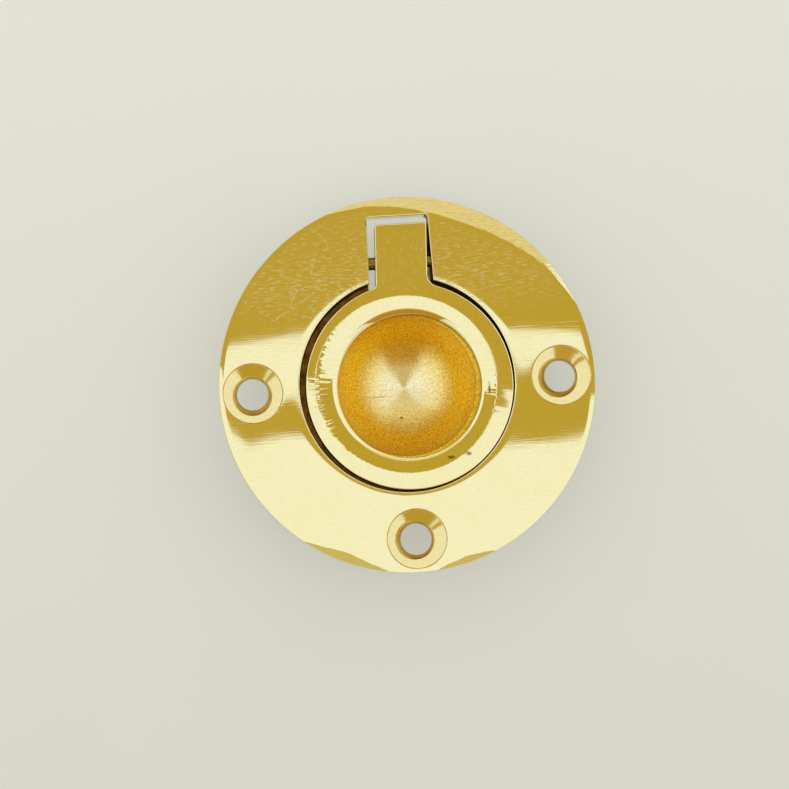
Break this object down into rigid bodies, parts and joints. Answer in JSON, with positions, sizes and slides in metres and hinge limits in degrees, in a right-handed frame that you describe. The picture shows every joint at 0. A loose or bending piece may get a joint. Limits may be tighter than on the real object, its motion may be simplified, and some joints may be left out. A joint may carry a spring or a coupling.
{
  "type": "ring pull handle",
  "caption": "Flush round brass ring pull: a plate with countersunk screw holes and a finger cup, and a ring that lies in a recess and swings up on a pin through its tang.",
  "frame": {"origin": "middle of the plate's back face, halfway between the two side screw holes", "axes": "+Z out of the polished face, +Y towards the ring's tang and hinge, +X to the right seen from the front"},
  "size_m": [0.038, 0.038, 0.0091],
  "materials": {
    "backplate_brass": "polished casting",
    "ring_brass": "polished casting",
    "pin_brass": "drawn wire"
  },
  "bodies": {
    "plate": {"backplate": "backplate_brass", "hinge_pin": "pin_brass"},
    "ring": {"pull_ring": "ring_brass"}
  },
  "joints": [
    {"name": "ring_hinge", "type": "hinge", "parent": "plate", "child": "ring", "pos_m": [0, 0.01245, 0.00175], "axis": [-1, 0, 0], "range_deg": [0, 100]}
  ]
}
